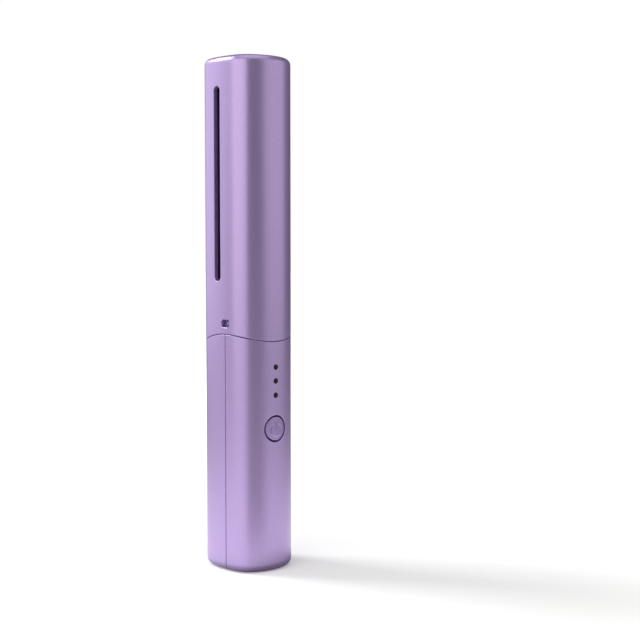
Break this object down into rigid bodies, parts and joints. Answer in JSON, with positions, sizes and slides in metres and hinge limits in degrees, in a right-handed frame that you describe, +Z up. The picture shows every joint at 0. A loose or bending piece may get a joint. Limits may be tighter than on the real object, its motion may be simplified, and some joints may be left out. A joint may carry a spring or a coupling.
{
  "type": "cordless hot comb",
  "caption": "Cordless heated comb with a slim oval handle, a push button, status lights and a lift-off vented cap over its toothed head.",
  "frame": {"origin": "centre of the flat base, on the surface the comb stands on", "axes": "+Z up along the handle, -Y towards the power button, -X the way the comb teeth point"},
  "size_m": [0.0302, 0.0342, 0.205],
  "materials": {
    "satin_lilac": "satin metallic lacquer",
    "black_enamel": "gloss",
    "dark_plastic": "matte",
    "ceramic": "matte",
    "amber_film": "gloss",
    "bare_metal": "bright",
    "white_wire": "matte",
    "blue_sleeve": "gloss",
    "foam": "matte",
    "board_green": "satin",
    "led_white": "gloss",
    "smoked_window": "gloss"
  },
  "bodies": {
    "handle": {"front_shell": "satin_lilac", "rear_shell": "satin_lilac", "inner_frame": "dark_plastic", "comb_front_shell": "satin_lilac", "comb_rear_shell": "satin_lilac", "heating_comb": "black_enamel", "ptc_heater": "ceramic", "heater_insulation": "amber_film", "thermistor": "ceramic", "thermal_fuse": "bare_metal", "heater_leads": "white_wire", "neck_insulator": "ceramic", "battery_cell": "bare_metal", "battery_sleeve": "blue_sleeve", "battery_washers": "amber_film", "nickel_tabs": "bare_metal", "battery_leads": "white_wire", "battery_pad": "foam", "main_board": "board_green", "board_components": "dark_plastic", "tact_switch": "dark_plastic", "indicator_leds": "led_white", "light_pipe": "smoked_window", "usb_port_shell": "bare_metal", "usb_port_tongue": "dark_plastic", "board_screws": "bare_metal", "comb_screws": "bare_metal"},
    "cap": {"cap_shell": "satin_lilac"},
    "power_button": {"power_button": "satin_lilac"},
    "switch_plunger": {"tact_plunger": "dark_plastic"}
  },
  "joints": [
    {"name": "cap_slide", "type": "slide", "parent": "handle", "child": "cap", "axis": [0, 0, 1], "range_m": [0, 0.12]},
    {"name": "button_press", "type": "slide", "parent": "handle", "child": "power_button", "axis": [0, 1, 0], "range_m": [0, 0.0005], "stiffness_N_per_m": 2500, "springref_m": -0.0002},
    {"name": "plunger_press", "type": "slide", "parent": "handle", "child": "switch_plunger", "axis": [0, 1, 0], "range_m": [0, 0.0005]}
  ],
  "couplings": [
    {"joint": "plunger_press", "follows": "button_press", "ratio": 1}
  ]
}
